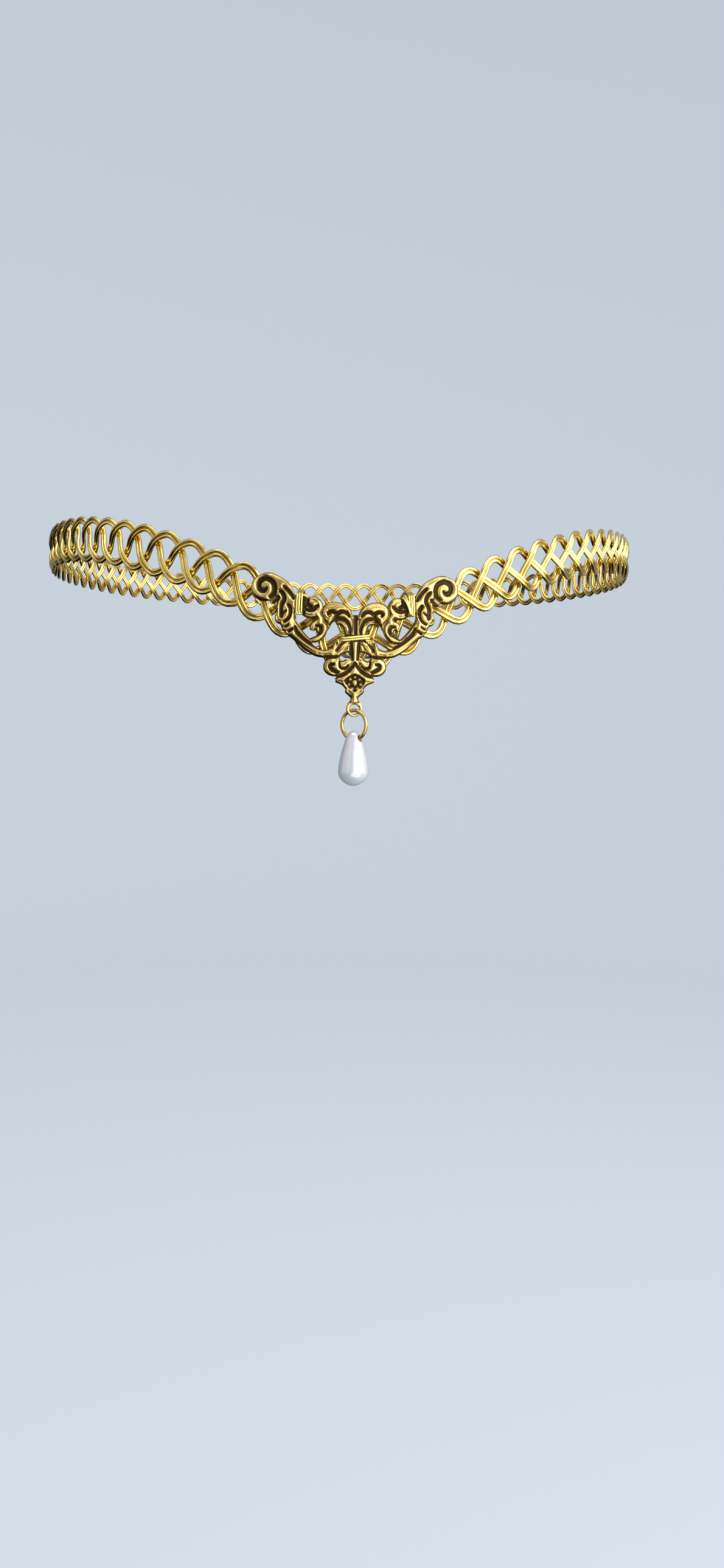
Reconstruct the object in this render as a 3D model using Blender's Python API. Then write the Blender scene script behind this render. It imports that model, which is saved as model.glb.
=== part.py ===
# A circlet: a band braided from three strands of doubled wire, a pierced scroll
# ornament lashed over its front with fine wire, and a pearl drop on a jump ring.
# The origin is the middle of the oval that sits on the head. -Y is the front.
import math

import bmesh
import bpy
import numpy as np
from mathutils import Matrix, Vector

MM = 0.001

# The band's oval seen from above, and the V that its front dips into
HALF_WIDTH = 79.0 * MM
HALF_DEPTH = 98.5 * MM
DIP_DEPTH = 26.7 * MM
DIP_REACH = 115.0 * MM
DIP_POWER = 3.15
DIP_ROUNDING = 4.0 * MM

# The braid: each strand is two round wires side by side, here one flat hexagon
WIRE_DIAMETER = 0.83 * MM
BRAID_LOOPS = 84
LOOPS_PER_WAVE = 3
STRAND_SWING = 4.4 * MM
STRAND_WEAVE = 0.56 * MM
WEAVE_LATENESS = 0.35
FIRST_LOOP = 0.13 * MM
LOOP_UPRIGHTNESS = 0.39
WAVE_STATIONS = [0, 30, 60, 120, 150, 180, 210, 240, 300, 330]

# The ornament: flat sizes in mm, measured from its waist, then bent to the oval
ORNAMENT_WAIST_HEIGHT = -24.7 * MM
ORNAMENT_SHIFT = -0.6 * MM
ORNAMENT_BACK = 1.7 * MM
PLATE_THICKNESS = 0.8 * MM
RELIEF_HEIGHT = 0.55 * MM
EYELET_DROP = 14.0
EYELET_RADIUS = 1.35
EYELET_RIM = 0.23
EYELET_SIDES = 14
MERGE_DISTANCE = 0.001 * MM
FLAT_ENOUGH = math.radians(3.0)

# The binding wires: one turn each, (u, v, w) in mm on the ornament's axes
BINDING_WIRE = 0.4 * MM
BINDING_PITCH = 0.45
BINDING_TURNS = 3
CENTRE_TURN = {
    "front": [(2.1, 0.1, 2.83), (2.85, 0.1, 2.45)],
    "right side": [
        (3.1, 0.1, 1.6), (3.2, -0.8, 1.39), (3.5, -2.4, 1.39), (3.6, -3.1, 0.8), (3.4, -3.4, -0.9),
    ],
    "back": [(2.6, -3.6, -1.45), (-0.9, -3.6, -1.45)],
    "left side": [
        (-1.9, -3.3, -1.1), (-2.4, -3.0, 0.3), (-2.5, -2.6, 1.2), (-2.8, -0.8, 1.39), (-3.1, 0.1, 1.6),
    ],
    "front again": [(-2.85, 0.1, 2.45), (-2.1, 0.1, 2.83)],
}
SIDE_TURN = {
    "front": [(11.2, 5.15, 2.85), (11.1, 8.3, 2.85)],
    "top": [(11.1, 8.85, 2.45), (11.1, 9.4, 1.3), (11.1, 9.6, 0.4), (11.1, 9.3, -0.5)],
    "back": [(11.15, 8.5, -0.8), (11.35, 5.6, -1.0)],
    "under": [(11.45, 4.95, 0.2), (11.25, 4.85, 1.6), (11.2, 4.8, 2.45)],
}

# The drop
RING_RADIUS = 2.95 * MM
RING_WIRE = 0.76 * MM
RING_SEGMENTS = 16
RING_TURN = math.radians(52.0)
RING_SEAT = 0.3 * MM
PEARL_HEIGHT = 11.2 * MM
PEARL_TOP_ABOVE_HOLE = 1.53 * MM
PEARL_HOLE_RADIUS = 0.82 * MM
PEARL_HOLE_LIFT = 0.27 * MM
PEARL_SIDES = 16
PEARL_PROFILE = [
    (1.45, 1.60), (2.8, 1.98), (4.3, 2.42), (5.8, 2.72), (7.3, 2.99), (8.3, 3.08), (9.5, 2.72), (10.6, 1.6),
]


# Scene and materials


def clear_scene():
    for thing in list(bpy.data.objects):
        bpy.data.objects.remove(thing)


def make_material(name, colour, roughness, metallic):
    material = bpy.data.materials.new(name)
    material.use_nodes = True
    shader = material.node_tree.nodes["Principled BSDF"]
    shader.inputs["Base Color"].default_value = (*colour, 1.0)
    shader.inputs["Roughness"].default_value = roughness
    shader.inputs["Metallic"].default_value = metallic
    return material


def add_object(name, bm, material, smooth_angle=40.0, recalculate=True, origin=None):
    if recalculate:
        bmesh.ops.recalc_face_normals(bm, faces=bm.faces)
    if origin is not None:
        bmesh.ops.translate(bm, vec=-origin, verts=bm.verts)
    mesh = bpy.data.meshes.new(name)
    bm.to_mesh(mesh)
    bm.free()
    mesh.shade_smooth()
    mesh.set_sharp_from_angle(angle=math.radians(smooth_angle))
    thing = bpy.data.objects.new(name, mesh)
    thing.data.materials.append(material)
    if origin is not None:
        thing.location = origin
    bpy.context.scene.collection.objects.link(thing)
    return thing


# Sweeping a section through frames


def frame(across, outward, along, place):
    """A matrix whose X is the section's width, Y its height and Z its way on."""
    columns = Matrix((across, outward, along)).transposed().to_4x4()
    columns.translation = place
    return columns


def sweep(bm, section, frames, closed):
    """Extrudes a ring of section points from frame to frame."""
    ring = bmesh.ops.create_circle(bm, cap_ends=False, segments=len(section), radius=1.0)["verts"]
    for vert, (x, y) in zip(ring, section):
        vert.co = frames[0] @ Vector((x, y, 0.0))
    edges = []
    for vert in ring:
        edges += [edge for edge in vert.link_edges if edge not in edges]
    stops = frames[1:] + [frames[0]] if closed else frames[1:]
    here = frames[0]
    for target in stops:
        made = bmesh.ops.extrude_edge_only(bm, edges=edges)["geom"]
        verts = [item for item in made if isinstance(item, bmesh.types.BMVert)]
        new_edges = [item for item in made if isinstance(item, bmesh.types.BMEdge)]
        edges = [edge for edge in new_edges if all(vert in verts for vert in edge.verts)]
        bmesh.ops.transform(bm, matrix=target @ here.inverted(), verts=verts)
        here = target
        ring = ring + verts
    if closed:
        bmesh.ops.remove_doubles(bm, verts=ring, dist=0.02 * MM)
    else:
        bmesh.ops.holes_fill(bm, edges=[edge for edge in bm.edges if edge.is_boundary])


def hexagon(radius):
    return [(radius * math.cos(k * math.pi / 3), radius * math.sin(k * math.pi / 3)) for k in range(6)]


# The oval


def oval_table():
    turn = np.linspace(-math.pi, math.pi, 4001)
    x = HALF_WIDTH * np.sin(turn)
    y = -HALF_DEPTH * np.cos(turn)
    around = np.concatenate([[0.0], np.cumsum(np.hypot(np.diff(x), np.diff(y)))])
    around -= np.interp(0.0, turn, around)
    reach = np.sqrt(around**2 + DIP_ROUNDING**2) - DIP_ROUNDING
    z = -DIP_DEPTH * np.maximum(1.0 - reach / DIP_REACH, 0.0) ** DIP_POWER
    length = np.concatenate([[0.0], np.cumsum(np.hypot(np.diff(around), np.diff(z)))])
    length -= np.interp(0.0, turn, length)
    return {"turn": turn, "x": x, "y": y, "z": z, "around": around, "length": length}


OVAL = oval_table()
BAND_LENGTH = OVAL["length"][-1] - OVAL["length"][0]


def on_oval(turn):
    """The oval's point, its tangent and its outward normal, all level."""
    place = Vector((HALF_WIDTH * math.sin(turn), -HALF_DEPTH * math.cos(turn), 0.0))
    tangent = Vector((HALF_WIDTH * math.cos(turn), HALF_DEPTH * math.sin(turn), 0.0)).normalized()
    return place, tangent, Vector((tangent.y, -tangent.x, 0.0))


def band_point(distance):
    """The band's middle line at a distance from the front, with its axes."""
    half = BAND_LENGTH / 2.0
    wrapped = (distance + half) % BAND_LENGTH - half
    turn = float(np.interp(wrapped, OVAL["length"], OVAL["turn"]))
    place, tangent, outward = on_oval(turn)
    place.z = float(np.interp(turn, OVAL["turn"], OVAL["z"]))
    ends = np.array([turn - 0.002, turn + 0.002])
    rise = float(np.diff(np.interp(ends, OVAL["turn"], OVAL["z"]))[0])
    run = float(np.diff(np.interp(ends, OVAL["turn"], OVAL["around"]))[0])
    along = (tangent * run + Vector((0.0, 0.0, rise))).normalized()
    upright = along.cross(outward)
    if upright.z < 0.0:
        upright = -upright
    upright = upright * (1.0 - LOOP_UPRIGHTNESS) + Vector((0.0, 0.0, LOOP_UPRIGHTNESS))
    return place, upright.normalized(), outward


# The braid


def strand_point(distance, lead):
    place, upright, outward = band_point(distance)
    phase = 2.0 * math.pi * ((distance - FIRST_LOOP) / (LOOPS_PER_WAVE * BAND_LENGTH / BRAID_LOOPS) + lead)
    height = STRAND_SWING * math.cos(phase)
    weave = STRAND_WEAVE * (WEAVE_LATENESS * math.sin(4.0 * phase) - math.sin(2.0 * phase))
    return place + upright * height + outward * weave, outward


def strand_frames(lead):
    waves = BRAID_LOOPS // LOOPS_PER_WAVE
    stations = [wave + degrees / 360.0 for wave in range(waves) for degrees in WAVE_STATIONS]
    frames = []
    for station in stations:
        distance = FIRST_LOOP + BAND_LENGTH * (station - lead) / waves
        place, outward = strand_point(distance, lead)
        ahead = strand_point(distance + 0.05 * MM, lead)[0]
        behind = strand_point(distance - 0.05 * MM, lead)[0]
        along = (ahead - behind).normalized()
        face = (outward - along * outward.dot(along)).normalized()
        frames.append(frame(face.cross(along), face, along, place))
    return frames


def strand_section():
    half = WIRE_DIAMETER / 2.0
    return [(2 * half, 0.0), (half, half), (-half, half), (-2 * half, 0.0), (-half, -half), (half, -half)]


def make_strand(name, lead, material):
    bm = bmesh.new()
    sweep(bm, strand_section(), strand_frames(lead), closed=True)
    return add_object(name, bm, material, smooth_angle=50.0)


# The ornament, drawn flat and bent to the oval


def bend(u, v, w):
    """The place of a flat point: u round the oval, v up, w out from the band."""
    radius = HALF_WIDTH**2 / HALF_DEPTH
    along = (u + ORNAMENT_SHIFT) * radius / (radius + ORNAMENT_BACK)
    turn = float(np.interp(along, OVAL["around"], OVAL["turn"]))
    place, _, outward = on_oval(turn)
    return place + outward * w + Vector((0.0, 0.0, ORNAMENT_WAIST_HEIGHT + v))


def smooth_path(points, per_span):
    """A Catmull-Rom curve through the points, with its values read evenly."""
    closed = points[0] == points[-1]
    rows = np.array(points[:-1] if closed else points, dtype=float)
    count = len(rows)
    spans = count if closed else count - 1
    path = []
    for span in range(spans):
        ids = [span - 1, span, span + 1, span + 2]
        places = [i % count if closed else min(max(i, 0), count - 1) for i in ids]
        before, start, end, after = rows[places]
        for step in range(per_span):
            t = step / per_span
            path.append(
                0.5
                * (
                    2 * start
                    + (end - before) * t
                    + (2 * before - 5 * start + 4 * end - after) * t**2
                    + (3 * start - before - 3 * end + after) * t**3
                )
            )
    if not closed:
        path.append(rows[-1])
    return path, closed


# Each plate bar or raised line is a row of (u, v, half width) in mm, right half
PLATE_BARS = {
    "volute": [(18.4, 9.9, 2.75), (18.6, 10.1, 2.75)],
    "arm top": [(17.2, 11.4, 1.6), (15.0, 10.0, 1.7), (14.0, 7.4, 1.9), (13.9, 4.6, 1.9)],
    "arm": [(14.0, 4.9, 1.7), (13.3, 2.4, 1.5), (11.8, 0.7, 1.2), (9.9, -1.1, 0.9), (7.6, -2.8, 0.6)],
    "arc": [(8.2, -2.4, 0.7), (6.2, -2.9, 0.55), (4.4, -2.6, 0.8), (2.8, -1.7, 0.65), (1.1, -0.5, 0.6)],
    "leaf spike": [(4.4, -2.7, 0.6), (3.9, -0.7, 0.25)],
    "link": [(13.4, 7.0, 1.5), (9.6, 6.6, 1.45)],
    "bud": [(9.1, 6.2, 1.85), (8.7, 6.1, 1.85)],
    "knuckle": [(7.7, 4.9, 0.7), (7.0, 3.9, 0.65), (7.0, 2.9, 0.7)],
    "small scroll": [
        (8.5, 1.5, 0.35), (8.0, 2.7, 0.5), (6.9, 2.6, 0.6), (6.4, 1.5, 0.6), (7.2, 0.2, 0.6), (8.9, -0.5, 0.5),
    ],
    "fleur lobe": [(5.1, 5.1, 1.6), (4.3, 5.3, 1.7), (2.9, 5.1, 1.6)],
    "fleur stem": [(2.9, 4.8, 1.6), (1.7, 3.5, 1.0), (1.4, 1.6, 0.8), (1.2, -0.3, 0.8)],
    "fleur leaf": [(5.0, 4.4, 1.0), (5.2, 3.2, 0.55), (5.6, 1.7, 0.2)],
    "lower rim": [(1.2, -4.6, 0.8), (2.4, -5.6, 1.1), (3.8, -5.7, 1.3), (4.6, -4.2, 0.9), (4.4, -2.9, 0.7)],
    "lower scroll": [(4.2, -5.7, 1.75), (4.3, -5.5, 1.75)],
}
CENTRE_BARS = {
    "spine": [(0.0, 4.7, 0.6), (0.0, 1.5, 0.7), (0.0, -1.5, 1.0), (0.0, -5.0, 1.0), (0.0, -8.0, 1.4)],
    "diamond": [(-1.3, -8.45, 1.45), (1.3, -8.45, 1.45)],
    "shoulder": [(-3.7, -8.3, 0.35), (0.0, -7.9, 1.6), (3.7, -8.3, 0.35)],
    "tail": [(0.0, -8.5, 2.0), (0.0, -10.2, 1.3), (0.0, -11.6, 0.75), (0.0, -12.75, 0.6)],
}
RAISED_LINES = {
    "volute": [
        (16.0, 11.9, 0.4), (17.8, 12.5, 0.45), (19.8, 12.2, 0.45), (20.8, 10.5, 0.45), (20.1, 8.6, 0.45),
        (18.4, 7.9, 0.45), (17.1, 8.9, 0.45), (17.0, 10.4, 0.4), (18.2, 11.0, 0.35), (18.8, 10.1, 0.3),
    ],
    "arm outer": [(18.6, 12.7, 0.4), (16.2, 12.2, 0.5), (14.2, 10.9, 0.45), (12.7, 8.9, 0.4)],
    "arm inner": [
        (16.2, 10.9, 0.3), (14.1, 8.4, 0.35), (12.9, 5.6, 0.4), (12.1, 2.8, 0.4), (10.0, 0.4, 0.35),
        (8.7, -0.9, 0.3),
    ],
    "arm leaf": [(15.1, 9.4, 0.25), (15.5, 7.9, 0.3), (15.5, 6.4, 0.3)],
    "arm hook": [(13.9, 6.3, 0.25), (14.0, 4.3, 0.3), (14.9, 3.3, 0.3), (15.6, 4.0, 0.3)],
    "arc": [
        (12.3, 0.3, 0.35), (10.2, -1.6, 0.4), (7.6, -3.2, 0.35), (4.6, -3.4, 0.35), (2.6, -2.3, 0.35),
        (1.3, -0.9, 0.3),
    ],
    "bud": [(9.4, 4.5, 0.35), (7.7, 4.8, 0.4), (7.1, 6.3, 0.45), (8.2, 7.6, 0.45), (9.3, 7.2, 0.3)],
    "small scroll": [(8.7, 2.2, 0.3), (7.4, 3.3, 0.3), (6.1, 2.0, 0.3), (6.7, 0.2, 0.3), (8.3, -0.6, 0.3)],
    "fleur": [
        (4.5, 3.8, 0.3), (5.9, 4.4, 0.35), (5.2, 5.8, 0.35), (3.6, 5.8, 0.35), (1.7, 5.2, 0.4),
        (0.9, 3.4, 0.35), (0.8, 0.9, 0.3),
    ],
    "fleur inner": [(3.7, 2.9, 0.3), (2.2, 2.6, 0.35), (1.6, 0.9, 0.3)],
    "lower scroll": [
        (0.3, -4.3, 0.3), (1.2, -5.8, 0.3), (3.0, -6.9, 0.35), (4.9, -7.0, 0.4), (5.9, -5.5, 0.4),
        (4.8, -4.2, 0.35), (3.8, -5.2, 0.3),
    ],
    "diamond": [(3.7, -8.3, 0.25), (2.2, -8.3, 0.3), (0.2, -6.2, 0.3)],
    "tail": [(3.6, -8.5, 0.25), (2.0, -9.4, 0.35), (0.5, -11.2, 0.35)],
}


def bar(bm, rows, low, high, side, per_span, section):
    """One tapered bar of the flat ornament, on its right or mirrored side."""
    path, closed = smooth_path(rows, per_span)
    frames = []
    for index, (u, v, half) in enumerate(path):
        ahead = path[(index + 1) % len(path)] if closed or index + 1 < len(path) else path[index]
        behind = path[index - 1] if closed or index > 0 else path[index]
        along = Vector((side * (ahead[0] - behind[0]), ahead[1] - behind[1], 0.0)).normalized()
        across = Vector((along.y, -along.x, 0.0)) * half * MM
        rise = Vector((0.0, 0.0, high - low))
        frames.append(frame(across, rise, along * MM, Vector((side * u * MM, v * MM, low))))
    sweep(bm, section, frames, closed)


def disc(bm, u, v, radius, low, high, sides):
    place = Matrix.Translation(Vector((u * MM, v * MM, (low + high) / 2.0)))
    size = {"radius1": radius * MM, "radius2": radius * MM, "depth": high - low}
    bmesh.ops.create_cone(bm, cap_ends=True, segments=sides, matrix=place, **size)


def combine(parts, name, operation):
    """Joins closed meshes, or cuts the later ones from the first."""
    group = bpy.data.collections.new(name)
    bpy.context.scene.collection.children.link(group)
    things = []
    for index, bm in enumerate(parts):
        bmesh.ops.recalc_face_normals(bm, faces=bm.faces)
        mesh = bpy.data.meshes.new(f"{name}_{index}")
        bm.to_mesh(mesh)
        bm.free()
        thing = bpy.data.objects.new(f"{name}_{index}", mesh)
        things.append(thing)
        (bpy.context.scene.collection if index == 0 else group).objects.link(thing)
    joined = things[0].modifiers.new("join", "BOOLEAN")
    joined.operation = operation
    joined.operand_type = "COLLECTION"
    joined.collection = group
    joined.solver = "EXACT"
    joined.use_self = True
    bpy.context.view_layer.update()
    evaluated = things[0].evaluated_get(bpy.context.evaluated_depsgraph_get())
    result = bmesh.new()
    result.from_mesh(evaluated.to_mesh())
    for thing in things:
        bpy.data.objects.remove(thing)
    bpy.data.collections.remove(group)
    return result


def ornament_parts():
    base = ORNAMENT_BACK
    top = base + PLATE_THICKNESS
    crest = top + RELIEF_HEIGHT
    slab = [(-1.0, 0.0), (1.0, 0.0), (0.9, 1.0), (-0.9, 1.0)]
    ridge = [(-1.0, 0.0), (1.0, 0.0), (0.0, 1.0)]
    parts = []
    for name, rows in CENTRE_BARS.items():
        bm = bmesh.new()
        bar(bm, rows, base, top, 1, 2, slab)
        parts.append(bm)
    for side in (1, -1):
        for name, rows in PLATE_BARS.items():
            bm = bmesh.new()
            if rows[0][2] == rows[-1][2] and len(rows) == 2:
                disc(bm, side * rows[0][0], rows[0][1], rows[0][2], base, top, 14)
            else:
                bar(bm, rows, base, top, side, 2, slab)
            parts.append(bm)
        for rows in RAISED_LINES.values():
            bm = bmesh.new()
            bar(bm, rows, top - 0.3 * MM, crest, side, 2, ridge)
            parts.append(bm)
    boss = bmesh.new()
    disc(boss, 0.0, -8.7, 0.55, top - 0.3 * MM, crest, 8)
    parts.append(boss)
    parts.append(eyelet())
    return parts


def eyelet():
    bm = bmesh.new()
    middle = ORNAMENT_BACK + PLATE_THICKNESS / 2.0
    frames = []
    for index in range(EYELET_SIDES):
        angle = 2.0 * math.pi * index / EYELET_SIDES
        out = Vector((math.cos(angle), math.sin(angle), 0.0))
        along = Vector((-math.sin(angle), math.cos(angle), 0.0))
        place = out * EYELET_RADIUS * MM + Vector((0.0, -EYELET_DROP * MM, middle))
        frames.append(frame(out, Vector((0.0, 0.0, 1.0)), along, place))
    sweep(bm, hexagon(EYELET_RIM * MM), frames, closed=True)
    return bm


def split_to_triangles(bm):
    """Triangulates. Where two faces take one diagonal, the first that can turns its own."""
    sheet = bm.faces.layers.int.new("sheet")
    for index, face in enumerate(bm.faces):
        face[sheet] = index
    bmesh.ops.triangulate(bm, faces=bm.faces)
    for edge in [edge for edge in bm.edges if len(edge.link_faces) > 2]:
        for first in list(edge.link_faces):
            pair = [face for face in edge.link_faces if face[sheet] == first[sheet]]
            a, b = edge.verts
            c, d = ([vert for vert in face.verts if vert not in (a, b)][0] for face in (pair * 2)[:2])
            if len(pair) == 2 and bm.edges.get((c, d)) is None:
                order = list(pair[0].verts)
                if order[(order.index(a) + 1) % 3] is not b:
                    a, b = b, a
                bmesh.ops.delete(bm, geom=pair, context="FACES_ONLY")
                bm.faces.new((a, d, c))
                bm.faces.new((d, b, c))
                break


def make_ornament(material):
    bm = combine(ornament_parts(), "ornament_part", "UNION")
    bmesh.ops.dissolve_degenerate(bm, dist=MERGE_DISTANCE, edges=bm.edges)
    bmesh.ops.dissolve_limit(bm, angle_limit=FLAT_ENOUGH, verts=bm.verts, edges=bm.edges)
    split_to_triangles(bm)
    for vert in bm.verts:
        vert.co = bend(*vert.co)
    return add_object("ornament", bm, material, recalculate=False)


# The binding wires


def binding_path(turn, side, shift_front):
    """Turns of wire side by side: each passes the last by one wire's pitch."""
    points = []
    for index in range(BINDING_TURNS):
        offset = (index - (BINDING_TURNS - 1) / 2.0) * BINDING_PITCH
        for stretch, rows in turn.items():
            for u, v, w in rows:
                lift = offset if shift_front and stretch.startswith("front") else 0.0
                spread = 0.0 if lift or (shift_front and stretch.startswith("front")) else offset
                if shift_front and u < 0.0:
                    spread = -spread
                points.append((u + spread, v + lift, w))
    return [bend(side * u * MM, v * MM, w * MM) for u, v, w in points]


def tube(bm, points, radius):
    """A six-sided wire along open points, its section carried without twist."""
    frames = []
    up = Vector((0.3, 0.5, 0.8))
    for index, place in enumerate(points):
        ahead = points[min(index + 1, len(points) - 1)]
        behind = points[max(index - 1, 0)]
        along = (ahead - behind).normalized()
        up = (up - along * up.dot(along)).normalized()
        frames.append(frame(up.cross(along), up, along, place))
    sweep(bm, hexagon(radius), frames, closed=False)


def make_binding(name, turn, side, shift_front, material):
    bm = bmesh.new()
    tube(bm, binding_path(turn, side, shift_front), BINDING_WIRE / 2.0)
    return add_object(name, bm, material)


# The drop


def eyelet_centre():
    return bend(0.0, -EYELET_DROP * MM, ORNAMENT_BACK + PLATE_THICKNESS / 2.0)


def make_ring(material):
    top = eyelet_centre() - Vector((0.0, 0.0, RING_SEAT))
    centre = top - Vector((0.0, 0.0, RING_RADIUS))
    across = Vector((math.sin(RING_TURN), -math.cos(RING_TURN), 0.0))
    up = Vector((0.0, 0.0, 1.0))
    normal = across.cross(up)
    frames = []
    for index in range(RING_SEGMENTS):
        angle = 2.0 * math.pi * index / RING_SEGMENTS
        out = across * math.sin(angle) + up * math.cos(angle)
        along = across * math.cos(angle) - up * math.sin(angle)
        frames.append(frame(out, along.cross(out), along, centre + out * RING_RADIUS))
    bm = bmesh.new()
    sweep(bm, hexagon(RING_WIRE / 2.0), frames, closed=True)
    add_object("jump_ring", bm, material, origin=top)
    return centre - up * RING_RADIUS, across


def make_pearl(ring_bottom, across, material):
    pivot = ring_bottom + Vector((0.0, 0.0, PEARL_HOLE_LIFT))
    body = bmesh.new()
    top = body.verts.new((0.0, 0.0, PEARL_TOP_ABOVE_HOLE))
    chain = [top]
    for depth, radius in PEARL_PROFILE:
        chain.append(body.verts.new((radius * MM, 0.0, PEARL_TOP_ABOVE_HOLE - depth * MM)))
    chain.append(body.verts.new((0.0, 0.0, PEARL_TOP_ABOVE_HOLE - PEARL_HEIGHT)))
    edges = [body.edges.new(pair) for pair in zip(chain, chain[1:])]
    bmesh.ops.spin(
        body, geom=chain + edges, axis=(0.0, 0.0, 1.0), cent=(0.0, 0.0, 0.0), steps=PEARL_SIDES,
        angle=2.0 * math.pi, use_merge=True,
    )
    bmesh.ops.remove_doubles(body, verts=body.verts, dist=0.02 * MM)
    hole = bmesh.new()
    turned = Matrix.Rotation(math.atan2(across.y, across.x), 4, "Z") @ Matrix.Rotation(math.pi / 2.0, 4, "Y")
    bmesh.ops.create_cone(
        hole, cap_ends=True, segments=10, radius1=PEARL_HOLE_RADIUS, radius2=PEARL_HOLE_RADIUS,
        depth=2.0 * PEARL_HEIGHT, matrix=turned,
    )
    bm = combine([body, hole], "pearl_part", "DIFFERENCE")
    split_to_triangles(bm)
    thing = add_object("pearl_drop", bm, material, recalculate=False)
    thing.location = pivot


def main():
    clear_scene()
    gold = make_material("gilt wire", (0.83, 0.60, 0.22), 0.22, 1.0)
    brass = make_material("aged brass", (0.62, 0.45, 0.18), 0.38, 1.0)
    pearl = make_material("pearl", (0.92, 0.90, 0.87), 0.18, 0.0)
    for name, lead in (("strand_a", 0.0), ("strand_b", 1.0 / 3.0), ("strand_c", 2.0 / 3.0)):
        make_strand(name, lead, gold)
    make_ornament(brass)
    make_binding("centre_binding", CENTRE_TURN, 1, True, gold)
    make_binding("left_binding", SIDE_TURN, -1, False, gold)
    make_binding("right_binding", SIDE_TURN, 1, False, gold)
    ring_bottom, across = make_ring(gold)
    make_pearl(ring_bottom, across, pearl)


main()
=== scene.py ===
import math

import bmesh
import bpy
import numpy as np
from mathutils import Matrix, Vector, noise


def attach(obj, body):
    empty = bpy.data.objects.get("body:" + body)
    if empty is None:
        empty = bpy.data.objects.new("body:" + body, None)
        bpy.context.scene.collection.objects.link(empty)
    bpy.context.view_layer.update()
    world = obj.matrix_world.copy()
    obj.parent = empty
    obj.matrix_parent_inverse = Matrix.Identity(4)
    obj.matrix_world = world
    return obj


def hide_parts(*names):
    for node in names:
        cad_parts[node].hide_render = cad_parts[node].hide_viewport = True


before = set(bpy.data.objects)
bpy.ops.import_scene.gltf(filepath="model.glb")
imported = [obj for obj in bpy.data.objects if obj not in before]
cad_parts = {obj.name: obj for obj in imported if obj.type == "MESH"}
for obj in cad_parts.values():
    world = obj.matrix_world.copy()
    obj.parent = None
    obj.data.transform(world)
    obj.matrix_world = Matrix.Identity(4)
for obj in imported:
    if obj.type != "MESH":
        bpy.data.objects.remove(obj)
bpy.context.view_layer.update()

MM = 0.001
UP = Vector((0.0, 0.0, 1.0))

# The band's oval, in millimetres like every size down to the camera
HALF_WIDTH = 79.0
HALF_DEPTH = 98.5
DIP_DEPTH = 26.7
DIP_REACH = 115.0
DIP_POWER = 3.15
DIP_ROUNDING = 4.0
OVAL_STEPS = 8001
TURN_NUDGE = 0.002

# The braid
WIRE_RADIUS = 0.41
WIRE_SPACING = 1.01
WIRE_SIDES = 12
BRAID_LOOPS = 84
LOOPS_PER_WAVE = 3
STRAND_SWING = 4.4
STRAND_WEAVE = 0.50
WEAVE_LATENESS = 0.35
FIRST_LOOP = 0.13
LOOP_UPRIGHTNESS = 0.39
STEPS_PER_WAVE = 24
STEP_NUDGE = 0.05

# How far its wires wander, as bent by hand, and how they walk through the noise
HAND_WANDER = 0.10
HAND_TILT = 0.12
NOISE_RING = 6.0
WANDER_PACE = 4.0
TILT_PACE = 2.5
TILT_START = Vector((9.0, 4.0, 2.0))

# The ornament's plate
WAIST_HEIGHT = -24.7
ORNAMENT_SHIFT = -0.6
BACK = 1.7
TOP = 2.98
BAR_SECTION = [(-1.0, 0.0), (1.0, 0.0), (1.0, 0.85), (0.92, 1.0), (-0.92, 1.0), (-1.0, 0.85)]
BAR_STEPS = 4
DISC_SIDES = 32
GRAIN = 0.13
SOFTENING = 0.5
SOFTENING_ROUNDS = 2

# Its relief. A bank runs from where the floor ends to the rim, in half widths
EDGE_FALL = 0.66
EDGE_REACH = 1.05
GROOVE_DEPTH = 0.68
GROOVE_BANK = (0.4, 1.7)
SEAT_DEPTH = 0.55
SEAT_BANK = (0.8, 1.1)
# Share of the dark groove colour painted into the binding seats, as painted shade under the
# bindings
SEAT_PAINTED_SHADE = 0.85

# The sunk diamond and its rosette. The boss's rows are across, up, radius and height
DIAMOND_MIDDLE = -8.5
DIAMOND_HALF = 2.3
DIAMOND_ROUNDING = 1.4
DIAMOND_UPPER_SHARE = 0.72
DIAMOND_BANK = (0.8, 1.0)
BOSS = [(0.05, -0.15, 0.5, 0.85), (0.05, -0.6, 0.48, 0.85)]
PETALS = 7
PETAL_TURN = 0.75
PETAL_REACH = 1.2
PETAL_DROP = 0.38
PETAL_RADIUS = 0.42
PETAL_HEIGHT = 0.4

# The eyelet at its tip
EYELET_DROP = 14.0
EYELET_MIDDLE = 2.1
EYELET_RADIUS = 1.33
EYELET_RIM = 0.32
EYELET_THICK = 0.24
EYELET_SWELL = 0.2
EYELET_ABOVE = 0.1
EYELET_STEPS = 40
EYELET_SIDES = 12

# The bindings
TURNS = (-1, 0, 1)
BINDING_STEPS = 5
BINDING_SIDES = 10
CENTRE_WIRE = 0.22
CENTRE_PITCH = 0.48
SIDE_WIRE = 0.19
SIDE_PITCH = 0.47

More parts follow.
